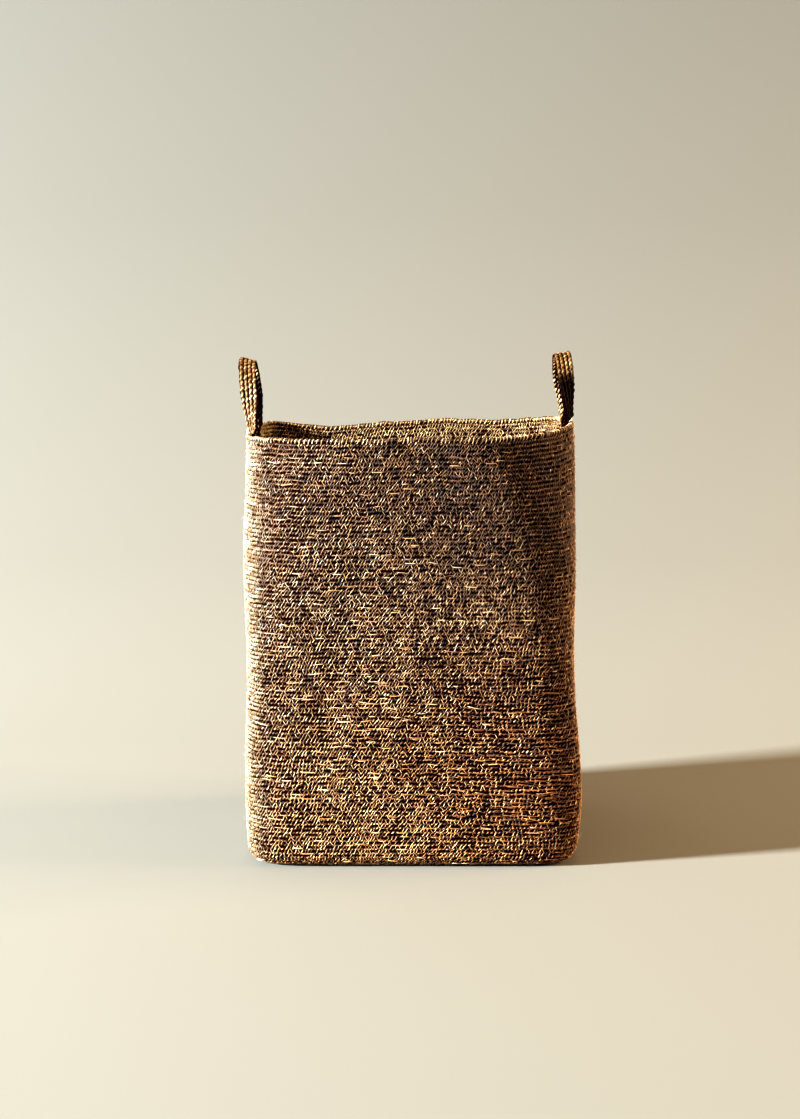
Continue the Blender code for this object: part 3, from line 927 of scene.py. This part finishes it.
def strap_path(side):
    """Centre line, tangent, width and face directions of a strap, from one tail to the other."""
    hinge = hinge_point(side)
    turn = np.linspace(0.0, math.pi, 121)
    power = 2.0 / ARCH_SQUARENESS
    cosine, sine = np.cos(turn), np.clip(np.sin(turn), 0.0, 1.0)
    y = -np.sign(cosine) * np.abs(cosine) ** power * HANDLE_HALF_SPAN
    raised = sine**power
    arch = np.stack([HANDLE_LEAN[side] * raised, y, raised * HANDLE_RISE[side]], axis=1)
    pieces = [arch]
    for end, sign in ENDS.items():
        low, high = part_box(f"{side}_handle_{end}_tail")
        inset = 0.5 * (low[0] + high[0]) - hinge[0]
        drop = np.linspace(-TAIL_LENGTH, -0.002, 22)
        shift = inset * smooth(-drop / FOOT_DROP)
        tail = np.stack([shift, 0.0 * drop + sign * HANDLE_HALF_SPAN, drop], axis=1)
        pieces = [tail] + pieces if end == "front" else pieces + [tail[::-1]]
    centre = np.concatenate(pieces)
    above = centre[:, 2]
    tangent = unit(np.gradient(centre * np.array([0.0, 1.0, 1.0]), axis=0))
    foot_turn = np.where(centre[:, 1] < 0.0, *FOOT_TURN[side])
    leg_turn = foot_turn * (1.0 - smooth(above / (TWIST_END[side] * HANDLE_RISE[side])))
    leg_turn = leg_turn + (0.5 * math.pi - foot_turn) * smooth(-above / FOOT_DROP)
    twist = leg_turn * SIDES[side]
    tilt = CROWN_TILT[side] * smooth(above / HANDLE_RISE[side])
    flat = np.stack([np.cos(tilt), 0.0 * tilt, -np.sin(tilt)], axis=1)
    flat = unit(flat - tangent * np.sum(flat * tangent, axis=1, keepdims=True))
    normal = np.cross(tangent, flat)
    width = flat * np.cos(twist)[:, None] + normal * np.sin(twist)[:, None]
    return hinge + centre, tangent, width, np.cross(width, tangent)


def make_strap(side, materials):
    """Four cords side by side over a thin dark band of painted shade, bent where the strap leaves the wall.
    """
    strands = Strands()
    centre, tangent, width, face = strap_path(side)
    for braid in range(STRAP_BRAIDS):
        offset = (braid - (STRAP_BRAIDS - 1) / 2) * STRAP_PITCH
        path = (centre + width * offset, tangent, width, face)
        phase = lengths_along(path[0]) * math.tau / STRAP_TWIST_PITCH
        add_cord(strands, path, phase, False, scale=1.22, steps=14, sides=6, ends=0.004, core=0.0021,
                 middle=STRAP_TONE[side], spread=0.07, stitch_spread=0.14)
    # The dark band: painted shade between the cords.
    strands.add(centre, face, width, BAND_THICK, BAND_WIDE, BAND_TONE, lengths_along(centre), sides=6,
                middle=centre - face * 0.002, outward=face)
    hinge = hinge_point(side)
    paint_leg_shade(strands, side, hinge[2] + HANDLE_RISE[side] - 0.012)
    strap = strands.build(f"{side}_handle_strap", materials["strap"])
    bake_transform(strap)
    braids = [f"{side}_handle_braid_{number + 1}" for number in range(STRAP_BRAIDS)]
    tails = [f"{side}_handle_{end_name}_tail" for end_name in ENDS]
    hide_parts(*braids, *tails)


def paint_leg_shade(strands, side, top):
    """Painted shade: the left strap's back leg, and the right strap's front leg, are darker below a height.
    """
    for number, points in enumerate(strands.points):
        low = smooth((top - points[:, 2]) / 0.02)
        painted_shade = low * smooth(-SIDES[side] * points[:, 1] / 0.03)
        strands.tones[number] -= LEG_SHADE_TONE * painted_shade
        strands.shades[number] *= 1.0 - LEG_SHADE * painted_shade


def make_lashing(side, end, materials):
    """Two turns of twine round a strap's tail and through the wall."""
    low, high = np.array(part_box(f"{side}_handle_{end}_lashing"))
    middle = 0.5 * (low + high)
    half = 0.5 * (high - low) - TWINE_MARGIN
    turn = np.linspace(0.0, math.tau * LASHING_TURNS, 32 * LASHING_TURNS)
    cosine, sine = np.cos(turn), np.sin(turn)
    outer = half[0] * np.sign(cosine) * np.abs(cosine) ** LASHING_SQUARENESS
    outer = outer + LASHING_SNUG * np.where(cosine < 0.0, -cosine, 0.0)
    x = middle[0] - SIDES[side] * outer
    y = middle[1] + half[1] * np.sign(sine) * np.abs(sine) ** LASHING_SQUARENESS
    z = middle[2] + half[2] * (1.0 - 2.0 * turn / turn[-1])
    centre = np.stack([x, y, z], axis=1)
    tangent = unit(np.gradient(centre, axis=0))
    outward = unit(np.cross(tangent, (0.0, 0.0, 1.0)))
    path = (centre, tangent, np.cross(outward, tangent), outward)
    phase = lengths_along(centre) * math.tau / (LASHING_SCALE * TWIST_PITCH)
    strands = Strands()
    add_cord(strands, path, phase, False, scale=LASHING_SCALE, sides=5, middle=0.6)
    lashing = strands.build(f"{side}_handle_{end}_twine", materials["twine"])
    settle(lashing, "sewing_twine", f"{side}_handle_{end}_lashing")


def make_loose_fibres(materials):
    """Hairs of grass that stand out of the rows."""
    strands = Strands()
    length = wall_length()
    rings = [wall_ring(length * (n + 0.5) / FIBRE_RINGS, 0.0005) for n in range(FIBRE_RINGS)]
    share = np.linspace(0.0, 1.0, 5)[:, None]
    for _ in range(FIBRES):
        ring = rings[int(rng.uniform(0.01, length) / length * FIBRE_RINGS)]
        spot = rng.integers(0, RING_SAMPLES)
        centre, tangent, upward, outward = (values[spot] for values in ring[:4])
        stand = rng.uniform(0.0010, 0.0034)
        run = rng.uniform(0.004, 0.013) * rng.choice((-1.0, 1.0))
        climb = rng.normal(0.0, 0.003)
        line = centre + upward * rng.uniform(-0.004, 0.004)
        line = line + tangent * run * share + upward * climb * share**2
        line = line + outward * stand * np.sin(share * rng.uniform(1.6, 3.0))
        heading = unit(np.gradient(line, axis=0))
        first = unit(np.cross(heading, upward + 0.01))
        second = np.cross(heading, first)
        size = FIBRE_THICK * (1.0 - 0.6 * share[:, 0])
        tone = rng.uniform(0.35, 1.0)
        strands.add(line, first, second, size, size, tone, share[:, 0] * 0.01, sides=3)
    return strands.build("loose_fibres", materials["wall"])


def settle(piece, slot, *solids):
    """The piece belongs to the basket and stands in for the CAD solids. slot is not used."""
    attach(piece, "basket")
    if solids:
        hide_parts(*solids)


materials = make_materials()
wall_pieces = make_wall(materials) + make_wall_stitches(materials)
settle(wall_pieces[0], "seagrass_braid", "wall")
for piece in wall_pieces[1:]:
    settle(piece, "seagrass_braid")
# Near-black shells of painted shade inside the wall and the base.
settle(make_shade_shell("wall_shade_shell", wall_shade_shell_face, materials["shade_shell"]), "seagrass_braid")
settle(make_base(materials), "seagrass_base", "base_mat")
settle(make_shade_shell("base_shade_shell", base_shade_shell_face, materials["shade_shell"]), "seagrass_base")
settle(make_rim(materials), "seagrass_rim", "rim_row")
settle(make_whip_stitch(materials), "seagrass_rim")
settle(make_loose_fibres(materials), "seagrass_braid")
settle(make_floats(materials), "seagrass_braid")
for side in SIDES:
    make_strap(side, materials)
    for end in ENDS:
        make_lashing(side, end, materials)


# ---- stage, light and camera

STAGE_HALF_WIDTH = 6.0
STAGE_FRONT = -4.0
STAGE_TOP = 4.5
COVE_START = 0.30  # the floor starts to curve up this far behind the basket's middle
COVE_RADIUS = 2.6
PLASTER = (1.0, 0.965, 0.905)
PLASTER_HEIGHT = 1.6  # the height that the shares below are of
# Pale plaster's albedo by height share, with painted shade that darkens it up the wall.
PLASTER_ALBEDO_AND_SHADE = (
    (0.0, 0.200), (0.003, 0.197), (0.025, 0.192), (0.10, 0.172), (0.22, 0.159), (0.475, 0.136), (1.0, 0.112),
)
KEY_DISTANCE = 7.0
KEY_HEIGHT = math.radians(16)
KEY_FORWARD = math.radians(18)
CAMERA_PLACE = (-0.011, -2.42, 0.601)
CAMERA_DIP = math.radians(6.98)


def mixed_shaders(tree, share, first, second):
    """The first shader where share is 0, and the second where it is 1."""
    mix = tree.nodes.new("ShaderNodeMixShader")
    for socket, source in zip(mix.inputs, (share, first, second)):
        tree.links.new(source, socket)
    return mix.outputs[0]


def backdrop_material():
    """Pale plaster with painted shade that makes it darker up the wall than on the floor, and not there when
    seen from behind.
    """
    material = bpy.data.materials.new("pale_backdrop")
    material.use_nodes = True
    tree = material.node_tree
    shader = tree.nodes["Principled BSDF"]
    shader.inputs["Roughness"].default_value = 0.9
    split = tree.nodes.new("ShaderNodeSeparateXYZ")
    tree.links.new(tree.nodes.new("ShaderNodeTexCoord").outputs["Object"], split.inputs[0])
    stops = [(place, [albedo * part for part in PLASTER]) for place, albedo in PLASTER_ALBEDO_AND_SHADE]
    height = ramp(tree, maths(tree, "MULTIPLY", split.outputs["Z"], 1.0 / PLASTER_HEIGHT), stops)
    tree.links.new(height, shader.inputs["Base Color"])
    behind = tree.nodes.new("ShaderNodeNewGeometry").outputs["Backfacing"]
    clear = tree.nodes.new("ShaderNodeBsdfTransparent").outputs[0]
    mix = mixed_shaders(tree, behind, shader.outputs[0], clear)
    tree.links.new(mix, tree.nodes["Material Output"].inputs["Surface"])
    return material


def make_stage():
    """Pale floor that curves up into a pale backdrop."""
    profile = [(STAGE_FRONT, 0.0)]
    for step in range(33):
        turn = 0.5 * math.pi * step / 32
        along, up = COVE_RADIUS * math.sin(turn), COVE_RADIUS * (1.0 - math.cos(turn))
        profile.append((COVE_START + along, up))
    profile.append((COVE_START + COVE_RADIUS, STAGE_TOP))
    points = [(x, y, z) for x in (-STAGE_HALF_WIDTH, STAGE_HALF_WIDTH) for y, z in profile]
    count = len(profile)
    faces = [(n, n + count, n + count + 1, n + 1) for n in range(count - 1)]
    mesh = bpy.data.meshes.new("backdrop")
    mesh.from_pydata(points, [], faces)
    mesh.shade_smooth()
    place_mesh("backdrop", mesh, backdrop_material())


def aim(item, target):
    direction = np.array(target) - np.array(item.location)
    item.rotation_euler = Vector(direction).to_track_quat("-Z", "Y").to_euler()


def area_light(name, place, target, size, power, colour):
    light = bpy.data.lights.new(name, "AREA")
    light.shape = "RECTANGLE"
    light.size, light.size_y = size
    light.energy = power
    light.color = colour
    lamp = bpy.data.objects.new(name, light)
    lamp.location = place
    bpy.context.scene.collection.objects.link(lamp)
    aim(lamp, target)


def make_lights():
    """A low window light from the left, a little in front of the basket, in a dim warm room."""
    level = KEY_DISTANCE * math.cos(KEY_HEIGHT)
    place = (
        -level * math.cos(KEY_FORWARD),
        -level * math.sin(KEY_FORWARD),
        KEY_DISTANCE * math.sin(KEY_HEIGHT) + 0.2,
    )
    area_light("key", place, (0.0, 0.0, 0.2), (0.7, 0.7), 2850.0, (0.92, 0.99, 0.96))
    area_light("glow", (3.9, 0.2, 1.5), (0.1, 0.0, 0.1), (2.4, 1.6), 225.0, (1.0, 0.74, 0.45))
    area_light("overhead", (0.1, -0.1, 2.4), (0.1, -0.1, 0.0), (1.2, 1.2), 16.0, (1.0, 0.80, 0.50))


def make_world():
    """Warm and dim for the light it gives, and pale where the camera sees past the backdrop."""
    world = bpy.data.worlds.new("warm_room")
    world.use_nodes = True
    tree = world.node_tree
    warm = tree.nodes["Background"]
    warm.inputs["Color"].default_value = (1.0, 0.62, 0.25, 1.0)
    warm.inputs["Strength"].default_value = 0.26
    pale = tree.nodes.new("ShaderNodeBackground")
    pale.inputs["Color"].default_value = (0.60, 0.58, 0.49, 1.0)
    seen = tree.nodes.new("ShaderNodeLightPath").outputs["Is Camera Ray"]
    mix = mixed_shaders(tree, seen, warm.outputs[0], pale.outputs[0])
    tree.links.new(mix, tree.nodes["World Output"].inputs["Surface"])
    bpy.context.scene.world = world


def make_camera():
    """A camera in front of the basket, above its rim, that looks a little down."""
    camera = bpy.data.cameras.new("camera")
    camera.sensor_width = 36.0
    camera.lens = 70.8
    eye = bpy.data.objects.new("camera", camera)
    eye.location = CAMERA_PLACE
    eye.rotation_euler = (math.radians(90.0) - CAMERA_DIP, 0.0, 0.0)
    bpy.context.scene.collection.objects.link(eye)
    bpy.context.scene.camera = eye


make_stage()
make_lights()
make_world()
make_camera()
bpy.context.scene.view_settings.view_transform = "Standard"
bpy.context.scene.view_settings.look = "High Contrast"
